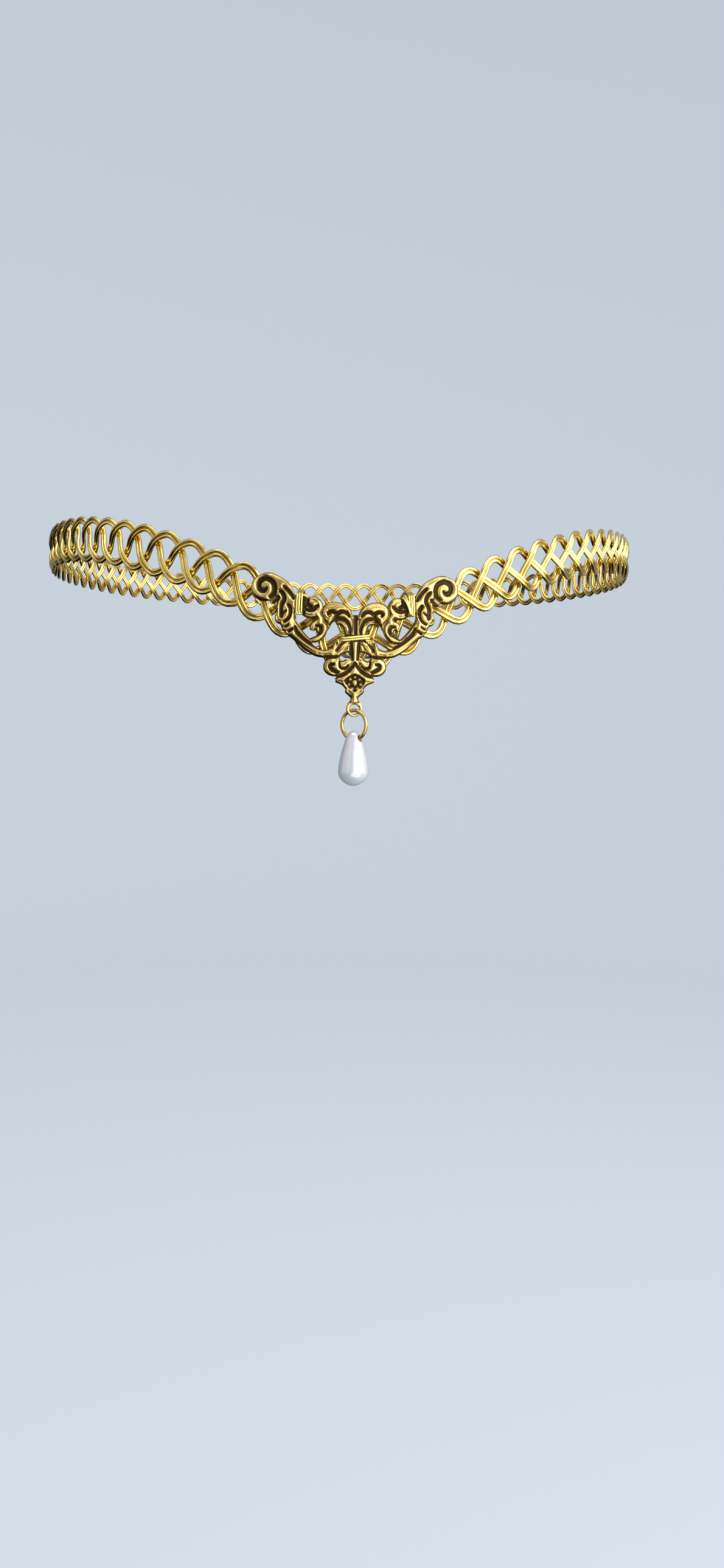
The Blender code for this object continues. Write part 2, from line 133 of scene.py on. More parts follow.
# The drop. The profile's rows are depth under the top and radius
RING_RADIUS = 2.95
RING_WIRE = 0.355
RING_TURN = math.radians(52.0)
RING_SEAT = 0.3
RING_STEPS = 96
RING_SIDES = 16
PEARL_HEIGHT = 11.2
PEARL_TOP_ABOVE_HOLE = 1.53
PEARL_HOLE_RADIUS = 0.70
PEARL_HOLE_LIFT = 0.27
PEARL_PROFILE = [
    (0.12, 0.55), (0.45, 1.0), (1.0, 1.38), (1.6, 1.63), (2.8, 1.98), (4.3, 2.42), (5.8, 2.76),
    (7.3, 3.01), (8.2, 3.08), (9.0, 2.98), (9.8, 2.58), (10.5, 1.88), (10.95, 1.1), (11.13, 0.55),
]
PEARL_LEAST_RADIUS = 0.01
PEARL_STEPS = 3
PEARL_SIDES = 64
PEARL_WELD = 0.004
PEARL_SMOOTH = 50.0
DRILL_LENGTH = 20.0
DRILL_SIDES = 32

# The camera, worked out from the photograph. Its place is from the oval's foremost point
CAMERA_YAW = math.radians(3.654)
CAMERA_PITCH = math.radians(-4.995)
CAMERA_ROLL = math.radians(0.872)
CAMERA_RIGHT = 7.627
CAMERA_DISTANCE = 221.53
CAMERA_HEIGHT = -34.69
SENSOR = 36.0
FOCAL_PIXELS = 1786.0
PICTURE_PIXELS = 2576.0

# The stage and its lights, in metres and watts
FLOOR_HEIGHT = -0.5
STAGE_RADIUS = 1.5
STAGE_CURVE = 0.7
STAGE_CURVE_STEPS = 12
STAGE_WALL = 1.6
STAGE_SIDES = 64
STAGE_WELD = 0.001
FRONT = (0.0, -0.07, -0.02)
CENTRE = (0.0, 0.0, 0.0)
# Name, place, aim, width, height, power and colour
LIGHTS = [
    ("window", (0.85, -0.45, 0.30), FRONT, 0.7, 1.0, 12.0, (0.93, 0.97, 1.0)),
    ("front_window", (0.42, -1.1, 0.12), FRONT, 0.9, 0.8, 6.4, (0.96, 0.98, 1.0)),
    ("left_fill", (-1.0, -0.55, 0.25), FRONT, 1.5, 1.1, 2.6, (1.0, 0.98, 0.94)),
    ("low_fill", (0.25, -0.75, -0.42), FRONT, 1.1, 0.6, 3.4, (0.95, 0.98, 1.0)),
    ("ceiling", (0.0, -0.3, 1.2), CENTRE, 1.3, 0.8, 8.0, (0.97, 0.98, 1.0)),
]
ROOM_COLOUR = (0.92, 0.95, 1.0, 1.0)
ROOM_GLOW = 0.28
ROOM_GLOW_RIGHT = 0.14
ROOM_GLOW_UP = 0.28

# Light colour, deep colour and roughness of each gilt wire
STRAND_GILT = ((0.91, 0.71, 0.24), (0.75, 0.53, 0.14), 0.14)
BINDING_GILT = ((0.94, 0.77, 0.26), (0.82, 0.61, 0.16), 0.18)
RING_GILT = ((0.82, 0.54, 0.17), (0.62, 0.36, 0.10), 0.18)

BRASS_POLISHED = (0.80, 0.58, 0.20)
BRASS_CLOUDED = (0.54, 0.36, 0.105)
BRASS_OLIVE = (0.24, 0.165, 0.05)
BRASS_DARK = (0.034, 0.022, 0.009)
BRASS_REDDISH = (0.14, 0.045, 0.018)
PEARL_ROSY = (0.53, 0.50, 0.50)
PEARL_BLUISH = (0.49, 0.52, 0.56)
BACKDROP_COLOUR = (0.25, 0.262, 0.275, 1.0)
BACKDROP_GLOW = (0.37, 0.415, 0.465, 1.0)


# Shader maths


class Field:
    """A socket that can stand in a Python sum."""

    def __init__(self, tree, socket):
        self.tree = tree
        self.socket = socket

    def _math(self, operation, first, second):
        node = self.tree.nodes.new("ShaderNodeMath")
        node.operation = operation
        for slot, value in zip(node.inputs, (first, second)):
            if isinstance(value, Field):
                self.tree.links.new(value.socket, slot)
            else:
                slot.default_value = value
        return Field(self.tree, node.outputs[0])

    def __add__(self, other):
        return self._math("ADD", self, other)

    def __sub__(self, other):
        return self._math("SUBTRACT", self, other)

    def __rsub__(self, other):
        return self._math("SUBTRACT", other, self)

    def __mul__(self, other):
        return self._math("MULTIPLY", self, other)

    __radd__ = __add__
    __rmul__ = __mul__

    def clamp(self):
        return self._math("MAXIMUM", self._math("MINIMUM", self, 1.0), 0.0)


class Finish:
    """One material. node() adds any node and gives back one of its outputs."""

    def __init__(self, name, **fixed):
        self.material = bpy.data.materials.new(name)
        self.material.use_nodes = True
        self.tree = self.material.node_tree
        self.shader = self.tree.nodes["Principled BSDF"]
        for socket, value in fixed.items():
            self.shader.inputs[socket.replace("_", " ")].default_value = value

    def node(self, kind, settings=None, inputs=None, output=0):
        node = self.tree.nodes.new(kind)
        for name, value in (settings or {}).items():
            setattr(node, name, value)
        for name, value in (inputs or {}).items():
            self.feed(node.inputs[name], value)
        return Field(self.tree, node.outputs[output])

    def feed(self, socket, value):
        if isinstance(value, Field):
            self.tree.links.new(value.socket, socket)
        else:
            socket.default_value = value

    def set(self, name, value):
        self.feed(self.shader.inputs[name], value)

    def noise(self, scale, detail=3.0, roughness=0.5):
        place = self.node("ShaderNodeTexCoord", output="Object")
        inputs = {"Vector": place, "Scale": scale, "Detail": detail, "Roughness": roughness}
        return self.node("ShaderNodeTexNoise", inputs=inputs, output="Fac")

    def attribute(self, name):
        return self.node("ShaderNodeAttribute", {"attribute_name": name}, output="Fac")

    def steps(self, value, low, high):
        """0 below low, 1 above high, smooth between."""
        settings = {"interpolation_type": "SMOOTHSTEP"}
        inputs = {"Value": value, "From Min": low, "From Max": high}
        return self.node("ShaderNodeMapRange", settings, inputs)

    def mix(self, first, second, share):
        inputs = {0: share, 6: rgba(first), 7: rgba(second)}
        return self.node("ShaderNodeMix", {"data_type": "RGBA"}, inputs, output=2)

    def bump(self, height, strength, distance):
        inputs = {"Height": height, "Strength": strength, "Distance": distance}
        self.set("Normal", self.node("ShaderNodeBump", inputs=inputs))


def rgba(colour):
    return colour if isinstance(colour, Field) else (*colour, 1.0)


def gilt_wire(name, light, deep, roughness):
    finish = Finish(name, Metallic=1.0)
    patch = finish.noise(scale=140.0)
    finish.set("Base Color", finish.mix(light, deep, finish.steps(patch, 0.35, 0.7)))
    finish.set("Roughness", roughness + 0.08 * patch)
    return finish.material


def aged_brass():
    """Polished on the flats, olive where the edges fall away, dark brown in the grooves, and dark
    as painted shade in the seats under the bindings.
    """
    finish = Finish("aged_brass")
    speck = finish.noise(scale=900.0, detail=4.0, roughness=0.65)
    ragged = 0.3 * (speck - 0.5)
    edge = finish.steps(finish.attribute("edge") + ragged, 0.12, 0.7)
    # The groove mark also carries painted shade in the seats under the bindings
    sunk = finish.steps(finish.attribute("groove") + ragged, 0.38, 0.84)
    red = finish.steps(finish.noise(scale=520.0, detail=2.0), 0.64, 0.72)
    cloud = finish.steps(finish.noise(scale=300.0), 0.4, 0.72)
    polished = finish.mix(BRASS_POLISHED, BRASS_CLOUDED, cloud)
    olive = finish.mix(polished, BRASS_OLIVE, edge)
    dark = finish.mix(BRASS_DARK, BRASS_REDDISH, red)
    finish.set("Base Color", finish.mix(olive, dark, sunk))
    finish.set("Metallic", 1.0 - 0.1 * sunk)
    finish.set("Roughness", 0.24 + 0.06 * edge + 0.22 * sunk + 0.08 * speck)
    finish.bump(speck, strength=0.3, distance=0.00005)
    return finish.material


def pearl_coat():
    """White pearl lustre, faintly rosy where the cloud is thin and bluish where it is thick."""
    finish = Finish("pearl", Metallic=0.25, Coat_Weight=0.6, Coat_Roughness=0.06, Coat_IOR=1.6)
    cloud = finish.steps(finish.noise(scale=180.0, detail=2.0), 0.35, 0.65)
    finish.set("Base Color", finish.mix(PEARL_ROSY, PEARL_BLUISH, cloud))
    finish.set("Roughness", 0.16 + 0.06 * finish.noise(scale=700.0))
    return finish.material


def backdrop_paint():
    """A pale matt blue-grey that also glows a little, so no side of the room goes dark."""
    finish = Finish("backdrop_paint", Metallic=0.0, Roughness=0.9, Emission_Strength=1.0)
    finish.set("Base Color", BACKDROP_COLOUR)
    finish.set("Emission Color", BACKDROP_GLOW)
    return finish.material


# Objects and meshes


def put_in_scene(name, data):
    thing = bpy.data.objects.new(name, data)
    bpy.context.scene.collection.objects.link(thing)
    return thing


def add_piece(name, mesh, material, body, node, smooth_angle=60.0):
    mesh.shade_smooth()
    mesh.set_sharp_from_angle(angle=math.radians(smooth_angle))
    mesh.materials.append(material)
    piece = put_in_scene(name, mesh)
    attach(piece, body)
    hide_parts(node)


def mesh_of(bm, name):
    """The bmesh as a mesh; the bmesh is freed."""
    mesh = bpy.data.meshes.new(name)
    bm.to_mesh(mesh)
    bm.free()
    return mesh


def settled_mesh(holder):
    """The mesh that the holder's bevel or modifiers give; the holder is removed."""
    bpy.context.view_layer.update()
    settled = holder.evaluated_get(bpy.context.evaluated_depsgraph_get())
    mesh = bpy.data.meshes.new_from_object(settled)
    bpy.data.objects.remove(holder)
    return mesh


def full_turn(index, count):
    """The angle of one of count even steps round a full turn."""
    return 2.0 * math.pi * index / count


def smooth_path(points, per_span):
    """A Catmull-Rom curve through the points."""
    rows = np.array(points, dtype=float)
    last = len(rows) - 1
    path = []
    for span in range(last):
        ids = [min(max(i, 0), last) for i in range(span - 1, span + 3)]
        before, start, end, after = rows[ids]
        for step in range(per_span):
            t = step / per_span
            push = (end - before) * t + (2 * before - 5 * start + 4 * end - after) * t**2
            path.append(0.5 * (2 * start + push + (3 * start - before - 3 * end + after) * t**3))
    path.append(rows[-1])
    return path


def round_wire(name, runs, radius, sides, closed=True):
    """A mesh of round wire along each run of points in millimetres."""
    curve = bpy.data.curves.new(name, "CURVE")
    curve.dimensions = "3D"
    curve.bevel_depth = radius * MM
    curve.bevel_resolution = sides // 2 - 2
    curve.use_fill_caps = True
    curve.twist_mode = "MINIMUM"
    for points in runs:
        spline = curve.splines.new("POLY")
        spline.points.add(len(points) - 1)
        for point, place in zip(spline.points, points):
            point.co = (*(place * MM), 1.0)
        spline.use_cyclic_u = closed
    mesh = settled_mesh(put_in_scene(name + "_path", curve))
    bpy.data.curves.remove(curve)
    mesh.materials.clear()
    return mesh


# The oval


def oval_table():
    """The band's height and its distance from the front, level and along it, by turn."""
    turn = np.linspace(-math.pi, math.pi, OVAL_STEPS)
    x = HALF_WIDTH * np.sin(turn)
    y = -HALF_DEPTH * np.cos(turn)
    around = np.concatenate([[0.0], np.cumsum(np.hypot(np.diff(x), np.diff(y)))])
    around -= np.interp(0.0, turn, around)
    reach = np.sqrt(around**2 + DIP_ROUNDING**2) - DIP_ROUNDING
    z = -DIP_DEPTH * np.maximum(1.0 - reach / DIP_REACH, 0.0) ** DIP_POWER
    length = np.concatenate([[0.0], np.cumsum(np.hypot(np.diff(around), np.diff(z)))])
    length -= np.interp(0.0, turn, length)
    return {"turn": turn, "z": z, "around": around, "length": length}


OVAL = oval_table()
BAND_LENGTH = OVAL["length"][-1] - OVAL["length"][0]


def on_oval(turn):
    """The oval's point, its tangent and its outward normal, all level."""
    place = Vector((HALF_WIDTH * math.sin(turn), -HALF_DEPTH * math.cos(turn), 0.0))
    tangent = Vector((HALF_WIDTH * math.cos(turn), HALF_DEPTH * math.sin(turn), 0.0)).normalized()
    return place, tangent, Vector((tangent.y, -tangent.x, 0.0))


def band_point(distance):
    """The band's middle line at a distance from the front, with its axes."""
    half = BAND_LENGTH / 2.0
    wrapped = (distance + half) % BAND_LENGTH - half
    turn = float(np.interp(wrapped, OVAL["length"], OVAL["turn"]))
    place, tangent, outward = on_oval(turn)
    ends = np.array([turn - TURN_NUDGE, turn + TURN_NUDGE])
    rise = float(np.diff(np.interp(ends, OVAL["turn"], OVAL["z"]))[0])
    run = float(np.diff(np.interp(ends, OVAL["turn"], OVAL["around"]))[0])
    place.z = float(np.interp(turn, OVAL["turn"], OVAL["z"]))
    along = (tangent * run + UP * rise).normalized()
    upright = outward.cross(along) * (1.0 - LOOP_UPRIGHTNESS) + UP * LOOP_UPRIGHTNESS
    return place, upright.normalized(), outward


def bend_rows(rows):
    """The places of flat ornament points: u round the oval, v up, w out from it."""
    u, v, w = np.asarray(rows, dtype=float).T
    radius = HALF_WIDTH**2 / HALF_DEPTH
    along = (u + ORNAMENT_SHIFT) * radius / (radius + BACK)
    turn = np.interp(along, OVAL["around"], OVAL["turn"])
    out_x, out_y = HALF_DEPTH * np.sin(turn), -HALF_WIDTH * np.cos(turn)
    reach = w / np.hypot(out_x, out_y)
    x = HALF_WIDTH * np.sin(turn) + out_x * reach
    y = -HALF_DEPTH * np.cos(turn) + out_y * reach
    return np.stack([x, y, WAIST_HEIGHT + v], axis=1)


def bend(u, v, w):
    return Vector(bend_rows([(u, v, w)])[0])


# The braid


def strand_point(distance, lead):
    """A strand's middle line, and the way out from the band there."""
    place, upright, outward = band_point(distance)
    wave = LOOPS_PER_WAVE * BAND_LENGTH / BRAID_LOOPS
    phase = 2.0 * math.pi * ((distance - FIRST_LOOP) / wave + lead)
    height = STRAND_SWING * math.cos(phase)
    weave = STRAND_WEAVE * (WEAVE_LATENESS * math.sin(4.0 * phase) - math.sin(2.0 * phase))
    return place + upright * height + outward * weave, outward


def strand_wires(name, lead, seed):
    """Two round wires side by side, wandering a little as bent by hand."""
    count = BRAID_LOOPS // LOOPS_PER_WAVE * STEPS_PER_WAVE
    wires = ([], [])
    for index in range(count):
        distance = BAND_LENGTH * index / count
        place, outward = strand_point(distance, lead)
        ahead, _ = strand_point(distance + STEP_NUDGE, lead)
        behind, _ = strand_point(distance - STEP_NUDGE, lead)
        along = (ahead - behind).normalized()
        face = (outward - along * outward.dot(along)).normalized()
        across = face.cross(along)
        angle = full_turn(index, count)
        ring = Vector((NOISE_RING * math.cos(angle), NOISE_RING * math.sin(angle), seed))
        drift = noise.noise(ring * WANDER_PACE) * HAND_WANDER
        tilt = noise.noise(ring * TILT_PACE + TILT_START) * HAND_TILT
        for wire, side in zip(wires, (1.0, -1.0)):
            aside = side * WIRE_RADIUS * WIRE_SPACING + drift
            wire.append(place + across * aside + face * (side * tilt))
    return round_wire(name, wires, WIRE_RADIUS, WIRE_SIDES)


# The ornament. Each row is u, v and half width, for both halves but in the centre plate

PLATE = {
    "volute": [(18.4, 10.0, 2.75), (18.6, 10.1, 2.75)],
    "arm top": [(17.2, 11.4, 1.6), (15.0, 10.0, 1.7), (14.0, 7.4, 1.9), (13.9, 4.6, 1.9)],
    "arm": [
        (14.0, 4.9, 1.7), (13.3, 2.4, 1.5), (11.8, 0.7, 1.2), (9.9, -1.1, 0.9), (7.6, -2.8, 0.6),
    ],
    "arc": [
        (8.2, -2.4, 0.7), (6.2, -2.9, 0.55), (4.4, -2.6, 0.8), (2.8, -1.7, 0.65), (1.1, -0.5, 0.6),
    ],
    "leaf spike": [(4.4, -2.7, 0.6), (3.9, -0.7, 0.25)],
    "link": [(13.4, 7.0, 1.5), (9.6, 6.6, 1.45)],
    "bud": [(9.1, 6.2, 1.85), (8.7, 6.1, 1.85)],
    "knuckle": [(7.7, 4.9, 0.7), (7.0, 3.9, 0.65), (7.0, 2.9, 0.7)],
    "small scroll": [
        (8.5, 1.5, 0.35), (8.0, 2.7, 0.5), (6.9, 2.6, 0.6), (6.4, 1.5, 0.6), (7.2, 0.2, 0.6),
        (8.9, -0.5, 0.5),
    ],
    "fleur lobe": [(5.1, 5.1, 1.6), (4.3, 5.3, 1.7), (2.9, 5.1, 1.6)],
    "fleur stem": [(2.9, 4.8, 1.6), (1.7, 3.5, 1.0), (1.4, 1.6, 0.8), (1.2, -0.3, 0.8)],
    "fleur leaf": [(5.0, 4.4, 1.0), (5.2, 3.2, 0.55), (5.6, 1.7, 0.2)],
    "lower rim": [
        (1.2, -4.6, 0.8), (2.4, -5.6, 1.1), (3.8, -5.7, 1.3), (4.6, -4.2, 0.9), (4.4, -2.9, 0.7),
    ],
    "lower scroll": [(4.2, -5.7, 1.75), (4.3, -5.5, 1.75)],
}
CENTRE_PLATE = {
    "spine": [
        (0.0, 4.7, 0.6), (0.0, 1.5, 0.7), (0.0, -1.5, 1.0), (0.0, -5.0, 1.0), (0.0, -8.0, 1.4),
    ],
    "diamond": [(-1.3, -8.45, 1.45), (1.3, -8.45, 1.45)],
    "shoulder": [(-3.7, -8.3, 0.35), (0.0, -7.9, 1.6), (3.7, -8.3, 0.35)],
    "tail": [
        (0.0, -8.5, 2.0), (0.0, -9.9, 1.5), (0.0, -11.2, 0.95), (0.0, -12.1, 0.76),
        (0.0, -12.75, 1.05),
    ],
}
ROUND_PLATES = ("volute", "bud", "lower scroll")
# Narrow rims, lobes and floors that fill the plate out to its outline
RIMS = {
    "outer": [
        (18.6, 12.6, 0.4), (17.0, 12.5, 0.5), (15.9, 12.0, 0.55), (14.4, 11.1, 0.6),
        (13.4, 10.1, 0.6), (12.6, 8.6, 0.55), (12.3, 7.6, 0.4),
    ],
    "inner": [
        (12.8, 5.0, 0.45), (12.5, 3.6, 0.45), (11.8, 2.4, 0.45), (10.5, 0.8, 0.42),
        (9.6, -0.1, 0.4), (8.7, -0.9, 0.3),
    ],
    "volute lip": [(15.6, 8.2, 0.3), (16.3, 7.4, 0.42), (17.1, 7.0, 0.3)],
    "leaf edge": [
        (15.7, 9.0, 0.35), (15.5, 7.9, 0.42), (15.3, 7.1, 0.42), (15.5, 6.2, 0.4),
        (16.0, 5.6, 0.25),
    ],
    "hook": [
        (13.9, 4.2, 0.4), (14.8, 3.2, 0.42), (15.6, 3.4, 0.42), (15.8, 4.3, 0.4), (15.3, 5.0, 0.3),
    ],
    "lower": [
        (12.4, 0.2, 0.4), (10.2, -1.6, 0.5), (8.4, -2.8, 0.5), (7.4, -3.2, 0.5), (5.8, -3.4, 0.5),
        (4.2, -3.3, 0.5), (3.4, -3.0, 0.5), (2.6, -2.3, 0.45), (1.8, -1.5, 0.42),
        (1.2, -0.8, 0.4),
    ],
    "bud": [
        (10.4, 4.9, 0.4), (9.6, 4.5, 0.5), (8.6, 4.4, 0.55), (7.5, 5.0, 0.6), (7.0, 6.2, 0.6),
        (7.6, 7.4, 0.6), (8.6, 7.8, 0.5), (9.6, 7.5, 0.4),
    ],
    "knob": [(7.3, 4.5, 0.5), (7.0, 3.7, 0.5)],
    "small scroll": [
        (8.7, 1.6, 0.3), (8.7, 2.3, 0.42), (8.2, 3.0, 0.5), (7.4, 3.3, 0.5), (6.6, 3.0, 0.5),
        (6.1, 2.3, 0.5), (6.1, 1.5, 0.5), (6.5, 0.6, 0.48), (7.3, -0.2, 0.45), (8.3, -0.6, 0.35),
    ],
    "fleur curl": [
        (4.5, 4.2, 0.3), (4.6, 3.6, 0.42), (5.3, 3.4, 0.48), (5.9, 4.0, 0.5), (6.2, 4.8, 0.5),
        (6.1, 5.8, 0.5), (5.5, 6.5, 0.5), (4.4, 6.8, 0.5), (3.1, 6.6, 0.5), (2.0, 6.1, 0.5),
        (1.3, 5.4, 0.45), (1.0, 4.4, 0.35),
    ],
    "fleur leaf": [
        (3.8, 3.0, 0.35), (2.9, 3.1, 0.45), (2.2, 2.5, 0.45), (1.9, 1.6, 0.42), (1.7, 0.8, 0.4),
    ],
    "fleur tail": [(5.0, 3.2, 0.3), (5.3, 2.6, 0.3), (5.6, 1.8, 0.2)],
    "spike": [(4.0, -0.7, 0.2), (3.9, -1.4, 0.3), (4.3, -2.4, 0.35), (4.6, -3.1, 0.4)],
    "lower scroll": [
        (1.0, -5.1, 0.4), (1.3, -5.8, 0.42), (2.0, -6.4, 0.42), (3.3, -7.0, 0.45),
        (4.3, -7.1, 0.45), (5.2, -6.8, 0.45), (5.8, -6.1, 0.45), (5.8, -5.2, 0.45),
        (5.4, -4.5, 0.45), (4.7, -4.1, 0.4),
    ],
    "lower hook": [(2.6, -5.2, 0.25), (1.9, -5.0, 0.3), (1.5, -5.5, 0.3)],
    "throat": [(0.8, -0.7, 0.45), (1.1, -1.5, 0.5), (1.5, -2.2, 0.42)],
    "hole top": [(1.1, -2.3, 0.4), (2.2, -2.5, 0.4), (3.2, -3.0, 0.5), (3.6, -3.8, 0.5)],
    "hole foot": [(1.1, -4.7, 0.42), (2.1, -4.95, 0.5), (3.0, -4.8, 0.5), (3.5, -4.2, 0.5)],
    "shoulder": [(2.2, -7.9, 0.5), (3.1, -8.0, 0.5), (3.8, -8.3, 0.35)],
    "tail rim": [(3.8, -8.4, 0.35), (2.5, -8.85, 0.4), (1.8, -9.46, 0.4), (1.3, -10.0, 0.45)],
    "lobe floor": [(3.2, 5.4, 0.5), (2.2, 5.4, 0.5), (1.6, 4.9, 0.4)],
    "curl floor": [(5.0, 5.2, 0.5), (5.8, 5.1, 0.5)],
    "scroll floor": [(7.7, 2.3, 0.45), (7.3, 1.9, 0.55), (7.3, 1.2, 0.5)],
    "stem floor": [(1.3, 4.4, 0.4), (0.5, 4.0, 0.4)],
    "tail lobe": [
        (1.48, -10.25, 0.44), (1.42, -10.6, 0.44), (0.9, -11.05, 0.44), (0.4, -11.6, 0.42),
        (0.3, -12.1, 0.4),
    ],
}
# Grooves sunk in the plate
GROOVES = {
    "volute": [
        (17.1, 8.1, 0.35), (16.4, 8.8, 0.45), (16.2, 9.9, 0.5), (16.5, 11.0, 0.48),
        (17.3, 11.6, 0.48), (18.2, 11.8, 0.48), (19.2, 11.3, 0.52), (19.5, 10.4, 0.52),
        (19.1, 9.5, 0.45), (18.3, 9.4, 0.4), (17.8, 9.8, 0.26),
    ],
    "channel": [(14.2, 10.2, 0.3), (13.4, 9.4, 0.36), (12.7, 8.5, 0.36), (12.3, 7.8, 0.26)],
    "leaf": [
        (15.0, 9.4, 0.3), (14.4, 8.7, 0.4), (14.2, 7.6, 0.4), (14.7, 6.6, 0.4), (14.9, 5.5, 0.4),
        (14.85, 4.4, 0.44),
    ],
    "leaf hook": [(13.8, 5.4, 0.2), (14.3, 5.0, 0.24), (14.8, 4.6, 0.3)],
    "inner leaf": [
        (13.3, 6.6, 0.34), (12.9, 5.8, 0.34), (13.0, 4.5, 0.3), (13.5, 3.7, 0.3),
        (14.2, 3.2, 0.26),
    ],
    "cut": [(15.3, 7.9, 0.32), (15.9, 7.5, 0.36), (16.5, 7.1, 0.3)],
    "low nick": [(12.5, 1.8, 0.26), (13.3, 1.3, 0.3)],
    "high nick": [(13.3, 2.6, 0.2), (13.9, 2.2, 0.24)],
    "arm": [
        (12.0, 2.2, 0.24), (11.7, 1.3, 0.36), (10.8, 0.3, 0.32), (9.4, -0.8, 0.32),
        (8.1, -1.5, 0.3), (6.9, -2.1, 0.2),
    ],
    "bud": [(7.5, 6.4, 0.28), (8.2, 5.8, 0.4), (9.2, 5.5, 0.4), (10.0, 5.8, 0.24)],
    "bud top": [(9.5, 7.6, 0.36), (9.6, 6.7, 0.44), (8.9, 6.2, 0.4)],
    "small scroll": [
        (7.8, 2.45, 0.26), (7.1, 2.4, 0.34), (6.75, 1.7, 0.38), (7.05, 1.0, 0.34),
        (7.8, 0.7, 0.28), (8.9, 0.0, 0.22),
    ],
    "fleur top": [(1.25, 4.45, 0.26), (1.85, 5.12, 0.32), (2.7, 5.32, 0.34), (3.5, 4.9, 0.34)],
    "fleur curl": [
        (3.7, 4.8, 0.32), (4.2, 5.15, 0.32), (4.8, 5.32, 0.32), (5.4, 4.98, 0.3),
        (5.15, 4.45, 0.2),
    ],
    "fleur neck": [(3.75, 4.65, 0.34), (3.9, 3.9, 0.36), (4.5, 3.05, 0.32), (5.1, 2.7, 0.22)],
    "fleur stem": [
        (1.08, 0.95, 0.26), (1.05, 1.9, 0.34), (1.55, 3.05, 0.4), (2.4, 3.75, 0.38),
        (3.5, 3.9, 0.34),
    ],
    "waist hook": [(2.65, -1.05, 0.22), (3.25, -1.8, 0.32), (3.65, -2.4, 0.32)],
    "spine side": [(0.8, -0.95, 0.32), (0.72, -2.25, 0.34), (0.62, -3.4, 0.3), (0.48, -4.2, 0.2)],
    "under arm": [(3.0, -3.55, 0.16), (4.0, -3.68, 0.26), (5.0, -3.74, 0.3), (6.0, -3.78, 0.3)],
    "lower scroll": [
        (4.2, -5.1, 0.24), (4.9, -5.35, 0.34), (4.8, -6.0, 0.38), (4.0, -6.5, 0.36),
        (3.3, -6.75, 0.22),
    ],
    "lower curl": [
        (1.3, -5.35, 0.16), (1.85, -5.92, 0.24), (2.75, -5.85, 0.26), (3.05, -5.1, 0.22),
        (3.0, -4.5, 0.16),
    ],
    "chevron": [
        (0.0, -4.9, 0.26), (0.6, -5.75, 0.3), (1.45, -6.6, 0.3), (2.5, -7.3, 0.3),
        (3.8, -7.75, 0.2),
    ],
    "stem gap": [(0.0, 5.3, 0.5), (0.0, 3.2, 0.42), (0.0, 0.9, 0.38)],
}
# Necks that the bindings lie in
SEATS = {
    "waist": [(0.0, 0.1, 0.75), (2.9, 0.1, 0.75)],
    "link": [(11.0, 4.0, 1.1), (11.0, 9.2, 1.1)],
    "loose turns": [(10.6, 4.4, 0.7), (9.9, 8.6, 0.7)],
}


def section_frame(place, across, out, along):
    columns = Matrix((across, out, along)).transposed().to_4x4()
    columns.translation = place
    return columns


def sweep(bm, section, frames):
    """Extrudes a ring of section points from frame to frame and caps its ends."""
    made = bmesh.ops.create_circle(bm, cap_ends=False, segments=len(section), radius=1.0)
    ring = made["verts"]
    for vert, (x, y) in zip(ring, section):
        vert.co = frames[0] @ Vector((x, y, 0.0))
    edges = []
    for vert in ring:
        edges += [edge for edge in vert.link_edges if edge not in edges]
    ends = list(edges)
    here = frames[0]
    for target in frames[1:]:
        made = bmesh.ops.extrude_edge_only(bm, edges=edges)["geom"]
        verts = [item for item in made if isinstance(item, bmesh.types.BMVert)]
        fresh = set(verts)
        edges = [item for item in made if isinstance(item, bmesh.types.BMEdge)]
        edges = [edge for edge in edges if fresh.issuperset(edge.verts)]
        bmesh.ops.transform(bm, matrix=target @ here.inverted(), verts=verts)
        here = target
    bmesh.ops.edgeloop_fill(bm, edges=ends)
    bmesh.ops.edgeloop_fill(bm, edges=edges)


def bar(bm, rows, side):
    """A bar of the plate's thickness along a tapered path."""
    path = smooth_path(rows, BAR_STEPS)
    frames = []
    for index, (u, v, half) in enumerate(path):
        ahead = path[min(index + 1, len(path) - 1)]
        behind = path[max(index - 1, 0)]
        along = Vector((side * (ahead[0] - behind[0]), ahead[1] - behind[1], 0.0)).normalized()
        across = Vector((along.y, -along.x, 0.0)) * half
        place = Vector((side * u, v, BACK))
        frames.append(section_frame(place, across, UP * (TOP - BACK), along))
    sweep(bm, BAR_SECTION, frames)


def disc(bm, u, v, radius):
    bmesh.ops.create_cone(
        bm, cap_ends=True, segments=DISC_SIDES, radius1=radius, radius2=radius, depth=TOP - BACK,
        matrix=Matrix.Translation(Vector((u, v, (BACK + TOP) / 2.0))),
    )


def eyelet(bm):
    """A ring of oval wire, thicker at the top where it grows out of the tail."""
    around = [full_turn(index, EYELET_SIDES) for index in range(EYELET_SIDES)]
    frames = []
    for index in range(EYELET_STEPS + 1):
        angle = full_turn(index, EYELET_STEPS)
        u, v = EYELET_RADIUS * math.cos(angle), -EYELET_DROP + EYELET_RADIUS * math.sin(angle)
        rim = EYELET_RIM + EYELET_SWELL * max(math.sin(angle), 0.0)
        across = Vector((math.cos(angle), math.sin(angle), 0.0)) * rim
        along = Vector((-math.sin(angle), math.cos(angle), 0.0))
        place = Vector((u, v, EYELET_MIDDLE))
        frames.append(section_frame(place, across, UP * EYELET_THICK, along))
    sweep(bm, [(math.cos(a), math.sin(a)) for a in around], frames)


